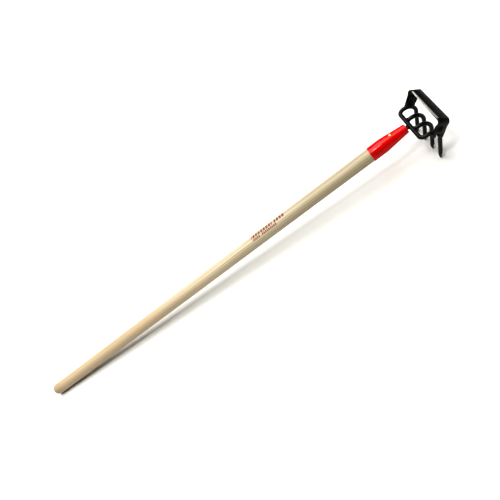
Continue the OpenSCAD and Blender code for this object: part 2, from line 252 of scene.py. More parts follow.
def push(x, y, z):
    """Extrudes what is selected by so many millimetres."""
    bpy.ops.mesh.extrude_region_move(TRANSFORM_OT_translate={"value": (x * MM, y * MM, z * MM)})


def close_up():
    """Merges doubled points, turns every face outwards and leaves edit mode."""
    bpy.ops.mesh.select_all(action="SELECT")
    bpy.ops.mesh.remove_doubles(threshold=0.004 * MM)
    bpy.ops.mesh.normals_make_consistent(inside=False)
    bpy.ops.object.mode_set(mode="OBJECT")


def turned(name, profile, steps=64):
    """A lathe piece: the profile, a list of places along X and radii, is spun about X."""
    clear_selection()
    bpy.ops.mesh.primitive_plane_add(size=MM)
    piece = begin(name)
    bpy.ops.mesh.merge(type="CENTER")
    bpy.ops.transform.translate(value=(profile[0][0] * MM, 0.0, profile[0][1] * MM))
    for (x0, r0), (x1, r1) in zip(profile, profile[1:]):
        push(x1 - x0, 0.0, r1 - r0)
    bpy.ops.mesh.select_all(action="SELECT")
    bpy.ops.mesh.spin(steps=steps, angle=2 * math.pi, center=(0.0, 0.0, 0.0), axis=(1.0, 0.0, 0.0))
    close_up()
    return piece


def arc(x, r, radius, start, end, points):
    """Profile points on an arc about (x, r), from start to end degrees, 0 being along +X."""
    turns = [math.radians(start + (end - start) * i / points) for i in range(points + 1)]
    return [(x + radius * math.cos(t), r + radius * math.sin(t)) for t in turns]


def settle(piece, at=(0.0, 0.0, 0.0), turn=(0.0, 0.0, 0.0)):
    """Moves and turns a piece, in metres and radians, and writes that into its mesh."""
    take(piece)
    piece.location = at
    piece.rotation_euler = turn
    fix_place()


def shade(crisp):
    """Shades the active piece smooth, but for the edges sharper than so many degrees."""
    bpy.ops.object.shade_smooth_by_angle(angle=math.radians(crisp))


def lay_down(piece, crisp=35.0):
    """Lays a finished piece into the tool's resting place and shades it."""
    settle(piece, nose, (0.0, -LIE, 0.0))
    shade(crisp)


def tool_place(material):
    """Object coordinates turned to the handle's line, in metres from the ferrule's nose."""
    turn = Matrix.Rotation(LIE, 3, "Y")
    place = node(material, "TexCoord").outputs["Object"]
    return node(material, "Mapping", {
        "Vector": place, "Location": -(turn @ nose), "Rotation": (0.0, LIE, 0.0),
    }).outputs["Vector"]


def blend_colour(material, share, first, second):
    """A mix of two colours by share. Each is a socket or a linear colour. A Mix node's colours
    are its inputs 6 and 7 and its output 2."""
    return node(material, "Mix", {0: share, 6: first, 7: second}, data_type="RGBA").outputs[2]


def ramp(material, share, low, high, low_value=0.0, high_value=1.0):
    """A smooth step: share from low to high gives low_value to high_value."""
    return node(material, "MapRange", {
        "Value": share, "From Min": low, "From Max": high,
        "To Min": low_value, "To Max": high_value,
    }, interpolation_type="SMOOTHSTEP").outputs["Result"]


def maths(material, operation, first, second=0.0, third=0.0):
    """One Math node."""
    return node(material, "Math", {0: first, 1: second, 2: third}, operation=operation).outputs[0]


def drawn_out(material, place, long_mm, wide_mm):
    """Coordinates for a pattern drawn out along the grain, with spots so long and so wide."""
    scale = (per_metre(long_mm), per_metre(wide_mm), per_metre(wide_mm))
    return node(material, "Mapping", {"Vector": place, "Scale": scale}).outputs["Vector"]


def varnished_ash():
    """Varnished ash: cream wood with long tan late-wood lines from rings about 5 mm apart and
    short open pores, under clear satin varnish that gives one soft highlight along the handle."""
    material = new_material("satin_varnished_ash")
    place = tool_place(material)
    drift = drawn_out(material, place, 455.0, 35.7)
    wander = node(material, "TexNoise", {"Vector": drift, "Scale": 1.0, "Detail": 3.0})
    bent = node(material, "VectorMath", {0: wander.outputs["Color"], 1: (0.0, 0.010, 0.010)},
                operation="MULTIPLY")
    board = node(material, "VectorMath", {0: place, 1: bent.outputs[0]}, operation="ADD")
    lean = node(material, "Mapping", {
        "Vector": board.outputs[0], "Location": (0.0, 0.021, 0.034), "Rotation": (0.0, 0.010, 0.007),
        "Scale": (0.02, 1.0, 1.0),
    })
    ring_mm = 5.0
    wave_gap = 0.31  # the distance from ring to ring at scale 1
    rings = node(material, "TexWave", {
        "Vector": lean.outputs[0], "Scale": wave_gap * per_metre(ring_mm), "Distortion": 1.2,
        "Detail": 2.0, "Detail Scale": 1.5,
    }, wave_type="RINGS", rings_direction="X", wave_profile="SAW")
    late_wood = ramp(material, rings.outputs["Fac"], 0.45, 0.98)

    fibres = drawn_out(material, place, 111.0, 0.7)
    streak = node(material, "TexNoise", {"Vector": fibres, "Scale": 1.0, "Detail": 3.0})
    pore_place = drawn_out(material, place, 11.1, 0.385)
    pore = node(material, "TexNoise", {"Vector": pore_place, "Scale": 1.0, "Detail": 1.0})
    pores = maths(material, "MULTIPLY", ramp(material, pore.outputs["Fac"], 0.60, 0.72), late_wood)

    wood = blend_colour(material, late_wood, hex_colour("C2B9A4"), hex_colour("AC9E82"))
    wood = blend_colour(material, ramp(material, streak.outputs["Fac"], 0.35, 0.75, 0.0, 0.4),
                        wood, hex_colour("96866A"))
    wood = blend_colour(material, maths(material, "MULTIPLY", pores, 0.55), wood, hex_colour("6E4E2E"))
    patch_place = drawn_out(material, place, 333.0, 25.0)
    patch = node(material, "TexNoise", {"Vector": patch_place, "Scale": 1.0, "Detail": 2.0})
    wood = blend_colour(material, ramp(material, patch.outputs["Fac"], 0.45, 0.75, 0.0, 0.35),
                        wood, hex_colour("B29676"))
    split = node(material, "SeparateXYZ", {"Vector": place})
    length = split.outputs["X"]
    # The half nearer the butt is warmer, and the wood greys a little towards the head.
    butt_share = ramp(material, length, -0.45, -1.05, 0.0, 0.45)
    wood = blend_colour(material, butt_share, wood, hex_colour("B29878"))
    head_share = ramp(material, length, -0.65, -0.12, 0.0, 0.55)
    wood = blend_colour(material, head_share, wood, hex_colour("8A7D62"))
    # Hand dirt settles on the last few centimetres.
    grime = ramp(material, length, (BUTT_X + 60.0) * MM, BUTT_X * MM, 0.0, 0.30)
    wood = blend_colour(material, grime, wood, hex_colour("8C6B45"))

    # The print: two rows of plain blocks, rubbed thin in places. Each run of blocks has its
    # two ends along the handle, its middle in degrees round it, its height and its pitch.
    angle = maths(material, "ARCTAN2", split.outputs["Z"], split.outputs["Y"])
    ink = 0.0
    for first, last, middle, tall, pitch in (
            (-442.0, -375.0, 81.0, 12.0, 8.4), (-369.0, -338.0, 81.0, 12.0, 8.4),
            (-440.0, -416.0, 116.0, 6.0, 5.2), (-411.0, -365.0, 116.0, 6.0, 5.2)):
        row = maths(material, "COMPARE", angle, math.radians(middle), tall / 2 / WOOD_R)
        span = maths(material, "COMPARE", length, (first + last) / 2 * MM, (last - first) / 2 * MM)
        beat = maths(material, "FRACT", maths(material, "MULTIPLY_ADD", length, per_metre(pitch), 60.0))
        block = maths(material, "LESS_THAN", beat, 0.66)
        mark = maths(material, "MULTIPLY", maths(material, "MULTIPLY", row, span), block)
        ink = maths(material, "MAXIMUM", ink, mark)
    rubbed_mm = 2.38
    rubbed = node(material, "TexNoise", {"Vector": place, "Scale": per_metre(rubbed_mm), "Detail": 3.0})
    ink = maths(material, "MULTIPLY", ink, ramp(material, rubbed.outputs["Fac"], 0.32, 0.55, 0.6, 1.0))
    wood = blend_colour(material, ink, wood, hex_colour("6A2416"))

    dents = node(material, "TexNoise", {"Vector": drift, "Scale": 3.0, "Detail": 2.0})
    relief = maths(material, "MULTIPLY_ADD", pores, -0.6, dents.outputs["Fac"])
    skin = node(material, "Bump", {"Height": relief, "Strength": 0.25, "Distance": 0.3 * MM})
    gloss = ramp(material, streak.outputs["Fac"], 0.3, 0.7, 0.38, 0.52)
    varnish = node(material, "BsdfPrincipled", {
        "Base Color": wood, "Roughness": gloss, "IOR": 1.5, "Specular IOR Level": 0.3,
        "Coat Weight": 0.1, "Coat Roughness": 0.3, "Normal": skin.outputs["Normal"],
    })
    return finished(material, varnish)


butt = arc(BUTT_X + BUTT_ROUND, WOOD_R - BUTT_ROUND, BUTT_ROUND, 180.0, 90.0, 10)
SHANK_RUNS = 24
shank = [(BUTT_X + BUTT_ROUND + GRIP_LEN * i / SHANK_RUNS, WOOD_R) for i in range(1, SHANK_RUNS + 1)]
handle = turned("ash_handle", [(BUTT_X, 0.0)] + butt + shank + [
    (RIM_X, SEAT_R), (SEAT_END_X, SEAT_R), (WOOD_END_X, WOOD_END_R), (WOOD_END_X, 0.0)])
lay_down(handle)
handle.data.materials.append(varnished_ash())
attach(handle, "cultivator")
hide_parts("handle")

# The ferrule: a steel tube pressed to a taper, closed at the nose and enamelled bright red.
# Its rim is rolled in a little to grip the wood, and it is pinned by a brass rivet.

FERRULE_WALL = 1.4
BORE_R = SEAT_R + 0.05
RIM_R = BORE_R + FERRULE_WALL
NOSE_R = 11.3
NOSE_EDGE = 2.0
RIM_ROLL_R = 0.7
TURN_IN = 4.0
ROD_R = 4.75
ROD_HOLE_R = ROD_R + 0.1


def red_enamel():
    """Gloss red enamel on pressed steel: a deep coat with a faint orange peel, rubbed
    through to dull steel in a few specks near the rim and the nose."""
    material = new_material("gloss_red_enamel")
    place = tool_place(material)
    peel_mm = 2.0
    peel = node(material, "TexNoise", {"Vector": place, "Scale": per_metre(peel_mm), "Detail": 1.0})
    cloud_mm = 16.7
    cloud = node(material, "TexNoise", {"Vector": place, "Scale": per_metre(cloud_mm), "Detail": 4.0})
    coat = blend_colour(material, ramp(material, cloud.outputs["Fac"], 0.3, 0.7),
                        hex_colour("C40604"), hex_colour("B20303"))
    length = node(material, "SeparateXYZ", {"Vector": place}).outputs["X"]
    ends = maths(material, "MAXIMUM", ramp(material, length, (RIM_X + 2.0) * MM, RIM_X * MM),
                 ramp(material, length, -2.5 * MM, 0.0))
    speck_mm = 1.1
    speck = node(material, "TexNoise", {"Vector": place, "Scale": per_metre(speck_mm), "Detail": 3.0})
    worn = maths(material, "MULTIPLY", ends, ramp(material, speck.outputs["Fac"], 0.50, 0.62))
    colour = blend_colour(material, worn, coat, hex_colour("8F8A84"))
    rough = maths(material, "MULTIPLY_ADD", worn, 0.25, 0.2)
    skin = node(material, "Bump", {"Height": peel.outputs["Fac"], "Strength": 0.12, "Distance": 0.1 * MM})
    enamel = node(material, "BsdfPrincipled", {
        "Base Color": colour, "Metallic": worn, "Roughness": rough, "IOR": 1.52,
        "Specular IOR Level": 0.15, "Coat Weight": 0.12, "Coat Roughness": 0.08,
        "Normal": skin.outputs["Normal"],
    })
    return finished(material, enamel)


taper = (NOSE_R - RIM_R) / (-NOSE_EDGE - SEAT_END_X)
rim_roll = arc(RIM_X + RIM_ROLL_R, RIM_R - RIM_ROLL_R, RIM_ROLL_R, 200.0, 90.0, 5)
# The tube turns from straight to tapered over a few millimetres to each side of the seat's end.
shoulder = [(SEAT_END_X - TURN_IN, RIM_R), (SEAT_END_X - 1.5, RIM_R - 0.04),
            (SEAT_END_X + 1.5, RIM_R + taper * 1.5 - 0.04), (SEAT_END_X + TURN_IN, RIM_R + taper * TURN_IN)]
nose_round = arc(-NOSE_EDGE, NOSE_R - NOSE_EDGE, NOSE_EDGE, 80.0, 0.0, 6)
rod_hole = [(0.0, ROD_HOLE_R + 0.8), (-0.5, ROD_HOLE_R), (-3.5, ROD_HOLE_R)]
inside = [(-4.0, NOSE_R - FERRULE_WALL - 0.5), (SEAT_END_X, BORE_R + 0.02), (RIM_X + 3.0, BORE_R)]
ferrule = turned("red_ferrule", [inside[-1], (RIM_X + 0.6, BORE_R)] + rim_roll + shoulder
                 + [(-NOSE_EDGE, NOSE_R)] + nose_round + rod_hole + inside, 96)
lay_down(ferrule)
ferrule.data.materials.append(red_enamel())
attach(ferrule, "cultivator")
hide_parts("ferrule")

# The rivet: a brass pin put through ferrule, wood and tang, with both ends hammered over
# into low domes that stand a little over a millimetre proud of the red enamel.

RIVET_X = -37.0
RIVET_R = 2.5
RIVET_HEAD_R = 3.75
RIVET_HEAD_H = 1.3
RIVET_LIFT = 0.15


def hammered_brass():
    """Hammered brass: pale yellow, flattened by small hammer marks, dull in the hollows."""
    material = new_material("hammered_brass")
    place = tool_place(material)
    mark_mm = 0.9
    marks = node(material, "TexVoronoi", {"Vector": place, "Scale": per_metre(mark_mm)})
    colour = blend_colour(material, ramp(material, marks.outputs["Distance"], 0.1, 0.7),
                          hex_colour("E0CF9A"), hex_colour("A88B52"))
    rough = ramp(material, marks.outputs["Distance"], 0.0, 0.8, 0.28, 0.5)
    skin = node(material, "Bump", {
        "Height": marks.outputs["Distance"], "Strength": 0.3, "Distance": 0.15 * MM})
    metal = node(material, "BsdfPrincipled", {
        "Base Color": colour, "Metallic": 1.0, "Roughness": rough, "Normal": skin.outputs["Normal"]})
    return finished(material, metal)


head_foot = RIM_R + taper * (RIVET_X - SEAT_END_X) + RIVET_LIFT
dome_r = (RIVET_HEAD_R ** 2 + RIVET_HEAD_H ** 2) / (2 * RIVET_HEAD_H)
dome_turn = math.degrees(math.asin(RIVET_HEAD_R / dome_r))
dome = [(head_foot, RIVET_R)] + arc(head_foot + RIVET_HEAD_H - dome_r, 0.0, dome_r, dome_turn, 12.0, 6)
dome_top = (dome[-1][0], 0.0)
other_end = [(-x, r) for x, r in reversed(dome)]
rivet = turned("brass_rivet", [(-dome_top[0], 0.0)] + other_end + dome + [dome_top], 32)
settle(rivet, (RIVET_X * MM, 0.0, 0.0), (0.0, -math.pi / 2, 0.0))
lay_down(rivet)
rivet.data.materials.append(hammered_brass())
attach(rivet, "cultivator")
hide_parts("ferrule_rivet")

# The tang: the tines' rod carried back through the nose and deep into the wood. Only a few
# millimetres show, left with the forge's dark scale and a little rust.


def forge_scale():
    """Forge scale on steel: near black and gritty, with rust brown in patches."""
    material = new_material("forge_scale_steel")
    place = tool_place(material)
    patch_mm = 3.0
    patch = node(material, "TexNoise", {"Vector": place, "Scale": per_metre(patch_mm), "Detail": 4.0})
    rust = ramp(material, patch.outputs["Fac"], 0.42, 0.62)
    colour = blend_colour(material, rust, hex_colour("231C1A"), hex_colour("7A4A2C"))
    grit_mm = 0.556
    grit = node(material, "TexNoise", {"Vector": place, "Scale": per_metre(grit_mm), "Detail": 3.0})
    skin = node(material, "Bump", {"Height": grit.outputs["Fac"], "Strength": 0.4, "Distance": 0.2 * MM})
    scale = node(material, "BsdfPrincipled", {
        "Base Color": colour, "Metallic": 0.4, "Roughness": 0.62, "Normal": skin.outputs["Normal"]})
    return finished(material, scale)


TANG_END_X = RIM_X - 16.0
BRIDGE_X = 8.6
ROOT_GAP = 0.2
BRIDGE_BACK_X = BRIDGE_X - ROD_R - ROOT_GAP
tang = turned("forged_tang", [
    (TANG_END_X, 0.0), (TANG_END_X, ROD_R / 2 - 0.5), (TANG_END_X + 0.5, ROD_R / 2),
    (TANG_END_X + 14.0, ROD_R), (-1.0, ROD_R), (0.8, ROD_R - 0.12), (2.2, ROD_R - 0.05),
    (BRIDGE_BACK_X, ROD_R), (BRIDGE_BACK_X, 0.0)], 32)
lay_down(tang)
tang.data.materials.append(forge_scale())
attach(tang, "cultivator")
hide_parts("tang")

# The tines: round steel rod, bent cold and drawn out hot to four flats at the tips. One rod
# makes the bridge and both outer tines, and two shorter ones stand on it. Semi-gloss black.

OUTER_Y = 53.0
INNER_Y = 17.0
OUTER_BEND_R = 11.0
INNER_FOOT_X = BRIDGE_X + ROD_R + ROOT_GAP
TINE_BEND_X = 20.4
TINE_BEND_R = 23.0
TINE_LEAN = math.radians(18.0)
TINE_LEN = 61.0
POINT_LEN = 16.0
POINT_HALF = 1.4
ROD_SIDES = 24


def black_enamel():
    """Semi-gloss black enamel on forged rod: soft highlights broken by the rod's slight
    unevenness under the paint, dusty in places and scuffed grey in small specks."""
    material = new_material("semi_gloss_black_enamel")
    place = tool_place(material)
    dust_mm = 22.2
    dust = node(material, "TexNoise", {"Vector": place, "Scale": per_metre(dust_mm), "Detail": 5.0})
    colour = blend_colour(material, ramp(material, dust.outputs["Fac"], 0.35, 0.8),
                          hex_colour("050505"), hex_colour("0E0F0C"))
    chip_mm = 1.6
    chip = node(material, "TexNoise", {"Vector": place, "Scale": per_metre(chip_mm), "Detail": 4.0})
    scuffed = ramp(material, chip.outputs["Fac"], 0.71, 0.76, 0.0, 0.8)
    colour = blend_colour(material, scuffed, colour, hex_colour("3A3834"))
    rough = maths(material, "ADD", maths(material, "MULTIPLY", scuffed, 0.2),
                  ramp(material, dust.outputs["Fac"], 0.3, 0.7, 0.30, 0.46))
    forge_mm = 7.0
    forge = node(material, "TexNoise", {"Vector": place, "Scale": per_metre(forge_mm), "Detail": 2.0})
    fine_mm = 1.11
    fine = node(material, "TexNoise", {"Vector": place, "Scale": per_metre(fine_mm), "Detail": 2.0})
    relief = maths(material, "MULTIPLY_ADD", fine.outputs["Fac"], 0.12, forge.outputs["Fac"])
    skin = node(material, "Bump", {"Height": relief, "Strength": 0.35, "Distance": 0.5 * MM})
    paint = node(material, "BsdfPrincipled", {
        "Base Color": colour, "Roughness": rough, "IOR": 1.45, "Specular IOR Level": 0.3,
        "Normal": skin.outputs["Normal"]})
    return finished(material, paint)


def start_rod(name, at, turn):
    """A ring of the rod's own size, in edit mode, ready to be pushed and bent."""
    clear_selection()
    bpy.ops.mesh.primitive_circle_add(vertices=ROD_SIDES, radius=ROD_R * MM, fill_type="NOTHING",
                                      location=Vector(at) * MM, rotation=turn)
    return begin(name)


def draw_tine(piece, y):
    """Bends the open end of a rod down into a tine and draws it out to its point."""
    down = Vector((-math.sin(TINE_LEAN), 0.0, -math.cos(TINE_LEAN)))
    bend_end = Vector((TINE_BEND_X + TINE_BEND_R * math.cos(TINE_LEAN), y,
                       -TINE_BEND_R * (1 + math.sin(TINE_LEAN))))
    tip = bend_end + down * TINE_LEN
    plain = TINE_LEN - POINT_LEN - 2.0
    run_out = 4.0
    bpy.ops.mesh.spin(steps=22, angle=-(math.pi / 2 + TINE_LEAN), axis=(0.0, 1.0, 0.0),
                      center=(TINE_BEND_X * MM, y * MM, -TINE_BEND_R * MM))
    push(*(down * plain))
    push(*(down * (TINE_LEN - plain + run_out)))
    bpy.ops.mesh.edge_face_add()
    # Four flats taper from the full rod to a blunt square point.
    draw = math.atan2(ROD_R - POINT_HALF, POINT_LEN)
    point_start = bend_end + down * (plain - 1.0)

    def slice_off(at, outward):
        """Takes off all of the point that lies beyond a plane."""
        pick(piece, "FACE", lambda face: (face.calc_center_median() / MM - point_start).dot(down) > 0)
        bpy.ops.mesh.bisect(plane_co=at * MM, plane_no=outward, use_fill=True, clear_outer=True,
                            threshold=0.0001 * MM)

    across = Vector((down.z, 0.0, -down.x))
    sideways = Vector((0.0, 1.0, 0.0))
    for quarter in (45.0, 135.0, 225.0, 315.0):
        turn = math.radians(quarter)
        out = across * math.cos(turn) + sideways * math.sin(turn)
        slice_off(tip + out * POINT_HALF, out * math.cos(draw) + down * math.sin(draw))
    # The end is cut level with the ground that the tool lies on.
    slice_off(tip, -Vector((math.sin(LIE), 0.0, math.cos(LIE))))


def work(piece, name, kind, **settings):
    """Puts one modifier on a piece and applies it."""
    take(piece)
    step = piece.modifiers.new(name, kind)
    for setting, value in settings.items():
        setattr(step, setting, value)
    bpy.ops.object.modifier_apply(modifier=step.name)


def ease_edges(piece, width, segments, sharp):
    """Rounds the edges sharper than so many degrees, as wear and paint do."""
    work(piece, "eased_edges", "BEVEL", width=width * MM, segments=segments,
         limit_method="ANGLE", angle_limit=math.radians(sharp))


def soften_rod(piece):
    """Softens the arrises of the flats and closes the shape up."""
    ease_edges(piece, 0.35, 2, 30.0)
    edit(piece)
    close_up()


def add_other_half(piece):
    """Joins a piece to its mirror image across the middle of the tool."""
    work(piece, "other_half", "MIRROR", use_axis=(False, True, False), merge_threshold=0.01 * MM)


def mirrored(piece, name):
    """The same piece for the other side of the tool, with a mesh of its own."""
    other = piece.copy()
    other.data = piece.data.copy()
    other.name = name
    bpy.context.scene.collection.objects.link(other)
    take(other)
    other.scale = (1.0, -1.0, 1.0)
    fix_place()
    edit(other)
    bpy.ops.mesh.normals_make_consistent(inside=False)
    bpy.ops.object.mode_set(mode="OBJECT")
    return other


# The rod of the bow is pushed along half the bridge, bent, bent down, and then mirrored.
bow = start_rod("black_outer_bow", (BRIDGE_X, 0.0, 0.0), (math.pi / 2, 0.0, 0.0))
push(0.0, OUTER_Y - OUTER_BEND_R, 0.0)
bpy.ops.mesh.spin(steps=12, angle=math.pi / 2, axis=(0.0, 0.0, 1.0),
                  center=((BRIDGE_X + OUTER_BEND_R) * MM, (OUTER_Y - OUTER_BEND_R) * MM, 0.0))
push(TINE_BEND_X - BRIDGE_X - OUTER_BEND_R, 0.0, 0.0)
draw_tine(bow, OUTER_Y)
add_other_half(bow)
soften_rod(bow)

# An inner tine starts square on the bridge, and its open foot is closed.
inner_left = start_rod("black_inner_tine_left", (INNER_FOOT_X, INNER_Y, 0.0), (0.0, math.pi / 2, 0.0))
push(TINE_BEND_X - INNER_FOOT_X, 0.0, 0.0)
draw_tine(inner_left, INNER_Y)
pick(inner_left, "EDGE", lambda edge: edge.is_boundary)
bpy.ops.mesh.edge_face_add()
soften_rod(inner_left)
inner_right = mirrored(inner_left, "black_inner_tine_right")

enamel_black = black_enamel()
for rod, node_name in ((bow, "outer_tine_bow"), (inner_left, "inner_tine_left"),
                       (inner_right, "inner_tine_right")):
    lay_down(rod)
    rod.data.materials.append(enamel_black)
    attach(rod, "cultivator")
    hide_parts(node_name)

# The welds that hold the head together: one rippled run all round the tang and one round
# the foot of each inner tine, laid into the corner with the bridge, under the same enamel.

WELD_R = 1.9
WELD_SINK = 0.6
RIPPLES = 24
RIPPLE_DEPTH = 0.22


def ring_weld(name, x, y):
    """A rippled weld run round a rod that meets the bridge at x, y."""
    clear_selection()
    bpy.ops.mesh.primitive_torus_add(
        major_segments=3 * RIPPLES, minor_segments=14, major_radius=(ROD_R - WELD_SINK) * MM,
        minor_radius=WELD_R * MM)
    weld = begin(name)
    step = 2 * math.pi / (3 * RIPPLES)
    pick(weld, "VERT", lambda v: round(math.atan2(v.co.y, v.co.x) / step) % 3 == 0)
    bpy.ops.transform.shrink_fatten(value=-RIPPLE_DEPTH * MM)
    settle(weld, (x * MM, y * MM, 0.0), (0.0, math.pi / 2, 0.0))
    return weld


for weld, node_name in (
        (ring_weld("neck_weld_run", BRIDGE_BACK_X, 0.0), "neck_weld"),
        (ring_weld("tine_weld_run_left", INNER_FOOT_X, INNER_Y), "tine_weld_left"),
        (ring_weld("tine_weld_run_right", INNER_FOOT_X, -INNER_Y), "tine_weld_right")):
    lay_down(weld, 60.0)
    weld.data.materials.append(enamel_black)
    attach(weld, "cultivator")
    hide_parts(node_name)

# The pivot lugs: ears sawn from 4 mm plate, coped to fit the outer tines where they bend,
# welded along the foot and drilled for the pivot bolts. A stop pin stands beside each.

pivot = Vector(frame["joints"][0]["pos_m"])


def softened_copy(name, source, width):
    """A copy of a CAD part with its points merged, flats cleaned and edges eased."""
    piece = frame["nodes"][source].copy()
    piece.data = piece.data.copy()
    piece.parent = None
    # The copy is a piece of its own, so it drops the marks of a CAD part.
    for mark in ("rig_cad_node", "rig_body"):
        del piece[mark]
    piece.name = name
    bpy.context.scene.collection.objects.link(piece)
    edit(piece)
    bpy.ops.mesh.remove_doubles(threshold=0.004 * MM)
    bpy.ops.mesh.dissolve_limited(angle_limit=math.radians(1.5))
    ease_edges(piece, width, 2, 40.0)
    shade(30.0)
    piece.data.materials.clear()
    return piece


LUG_IN_Y = OUTER_Y + 3.1
LUG_OUT_Y = LUG_IN_Y + 4.0
STRAP_OUT_Y = 64.66
STOP_R = 2.5
STOP_CHAMFER = 0.6
BEAD_PITCH = 13 / 9
for side in ("left", "right"):
    lug = softened_copy("pivot_ear_" + side, "pivot_lug_" + side, 0.4)
    lug.data.materials.append(enamel_black)
    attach(lug, "cultivator")
    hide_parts("pivot_lug_" + side)

foot_bead = softened_copy("ear_weld_left", "lug_weld_left", 0.1)
edit(foot_bead)
pick(foot_bead, "VERT", lambda v: math.sin((v.co.x + v.co.z) * per_metre(BEAD_PITCH) * 2 * math.pi) > 0.3)
bpy.ops.transform.shrink_fatten(value=-0.15 * MM)
stop_low, stop_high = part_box("stop_pin_left")
stop_mid = (stop_low + stop_high) / 2
stop_len = (stop_high.y - stop_low.y) / MM
pin = turned("stop_pin_left_round", [
    (0.0, 0.0), (0.0, STOP_R), (stop_len - STOP_CHAMFER, STOP_R), (stop_len, STOP_R - STOP_CHAMFER),
    (stop_len, 0.0)], 32)
settle(pin, (stop_mid.x, stop_low.y, stop_mid.z), (0.0, 0.0, math.pi / 2))
shade(30.0)
for left, stem, other_name in ((foot_bead, "lug_weld_", "ear_weld_right"),
                               (pin, "stop_pin_", "stop_pin_right_round")):
    right = mirrored(left, other_name)
    for piece, side in ((left, "left"), (right, "right")):
        piece.data.materials.append(enamel_black)
        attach(piece, "cultivator")
        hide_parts(stem + side)

# The stirrup: one steel strap, 25.4 by 3.2 mm, bent cold to a square U with rounded corners,
# drilled for the bolts, notched over the stop pins and ground to an edge both ways.

STRAP_W = 25.4
STRAP_T = 3.2
ARM_TAIL = 19.0
ARM_KNEE = 9.5
BLADE_TOP = 25.6
BLADE_HALF = 66.66
CORNER_R = 9.0
BEVEL_W = 4.5
EDGE_T = 0.8
ARM_ANGLE = math.radians(49.7)
SWING = math.radians(22.0)
STOP_REACH = 14.5
HOLE_R = 5.05
NOTCH_GAP = 0.15
NOTCH_R = STOP_R + NOTCH_GAP + STOP_REACH * math.sin(SWING / 2)
NOTCH_Z = -STOP_REACH + 1.0
WHEEL_T = 20.0


def ground_steel():
    """Steel ground on a belt: bright, with fine scratches straight back from the edge."""
    material = new_material("belt_ground_steel")
    place = tool_place(material)
    scratch_mm = 0.35
    scratch_len_mm = 16.7
    scratch = node(material, "Mapping", {"Vector": place, "Scale": (
        per_metre(scratch_len_mm), per_metre(scratch_mm), per_metre(scratch_len_mm))})
    lines = node(material, "TexNoise", {"Vector": scratch.outputs[0], "Scale": 1.0, "Detail": 2.0})
    cloud_mm = 11.1
    cloud = node(material, "TexNoise", {"Vector": place, "Scale": per_metre(cloud_mm), "Detail": 3.0})
    colour = blend_colour(material, lines.outputs["Fac"], hex_colour("9A9893"), hex_colour("BFBDB8"))
    colour = blend_colour(material, ramp(material, cloud.outputs["Fac"], 0.5, 0.75, 0.0, 0.45),
                          colour, hex_colour("76736D"))
    rough = ramp(material, lines.outputs["Fac"], 0.3, 0.7, 0.34, 0.5)
    skin = node(material, "Bump", {"Height": lines.outputs["Fac"], "Strength": 0.2, "Distance": 0.05 * MM})
    metal = node(material, "BsdfPrincipled", {
        "Base Color": colour, "Metallic": 1.0, "Roughness": rough, "Normal": skin.outputs["Normal"]})
    return finished(material, metal)


def cut(piece, tool, operation="DIFFERENCE"):
    """Cuts a tool's shape out of a piece, as a drill does, or with INTERSECT keeps only that."""
    work(piece, "cut", "BOOLEAN", operation=operation, solver="EXACT", object=tool)
    bpy.data.objects.remove(tool)


# It is drawn upright about the pivot: X across the strap, Y across the tool, Z to the blade.
strap_mid = BLADE_TOP - STRAP_T / 2
clear_selection()
bpy.ops.mesh.primitive_plane_add(size=MM, location=(0.0, 0.0, strap_mid * MM),
                                 rotation=(math.pi / 2, 0.0, 0.0))
bpy.context.object.scale = (STRAP_W, STRAP_T, 1.0)
stirrup = begin("strap_stirrup")
bpy.ops.mesh.delete(type="ONLY_FACE")
bpy.ops.mesh.select_all(action="SELECT")
push(0.0, BLADE_HALF - CORNER_R, 0.0)
bpy.ops.mesh.spin(steps=14, angle=math.pi / 2, axis=(1.0, 0.0, 0.0),
                  center=(0.0, (BLADE_HALF - CORNER_R) * MM, (BLADE_TOP - CORNER_R) * MM))
push(0.0, STRAP_OUT_Y - BLADE_HALF, ARM_KNEE - (BLADE_TOP - CORNER_R))
push(0.0, 0.0, -ARM_KNEE - ARM_TAIL)
bpy.ops.mesh.edge_face_add()
add_other_half(stirrup)
edit(stirrup)
close_up()

ACROSS = 4 * BLADE_HALF
hole = turned("hole_drill", [(-ACROSS / 2, 0.0), (-ACROSS / 2, HOLE_R), (ACROSS / 2, HOLE_R),
                             (ACROSS / 2, 0.0)], 48)
settle(hole, (0.0, 0.0, 0.0), (0.0, 0.0, math.pi / 2))
cut(stirrup, hole)
clear_selection()
bpy.ops.mesh.primitive_cylinder_add(
    vertices=48, radius=NOTCH_R * MM, depth=ACROSS * MM, location=(0.0, 0.0, NOTCH_Z * MM),
    rotation=(math.pi / 2, 0.0, 0.0))
notch = begin("notch_punch")
# The punch's lower half is drawn down past the arm's end, so the notch is open there.
pick(notch, "VERT", lambda v: v.co.z < (NOTCH_Z - 0.001) * MM)
bpy.ops.transform.translate(value=(0.0, 0.0, -10.0 * MM))
cut(stirrup, notch)

GRIND_LEN = 2 * (BLADE_HALF - CORNER_R) - 4.0
slope = math.atan2(STRAP_T - EDGE_T, BEVEL_W)
for edge_x, edge_z, outward in ((-STRAP_W / 2, BLADE_TOP - STRAP_T + EDGE_T, 1.0),
                                (STRAP_W / 2, BLADE_TOP - EDGE_T, -1.0)):
    clear_selection()
    bpy.ops.mesh.primitive_cube_add(size=MM, scale=(6 * BEVEL_W, GRIND_LEN, WHEEL_T))
    wheel = begin("grinding_wheel")
    away = Vector((0.0, 0.0, WHEEL_T / 2 * outward))
    away.rotate(Matrix.Rotation(-slope, 3, "Y"))
    settle(wheel, (Vector((edge_x, 0.0, edge_z)) + away) * MM, (0.0, -slope, 0.0))
    cut(stirrup, wheel)

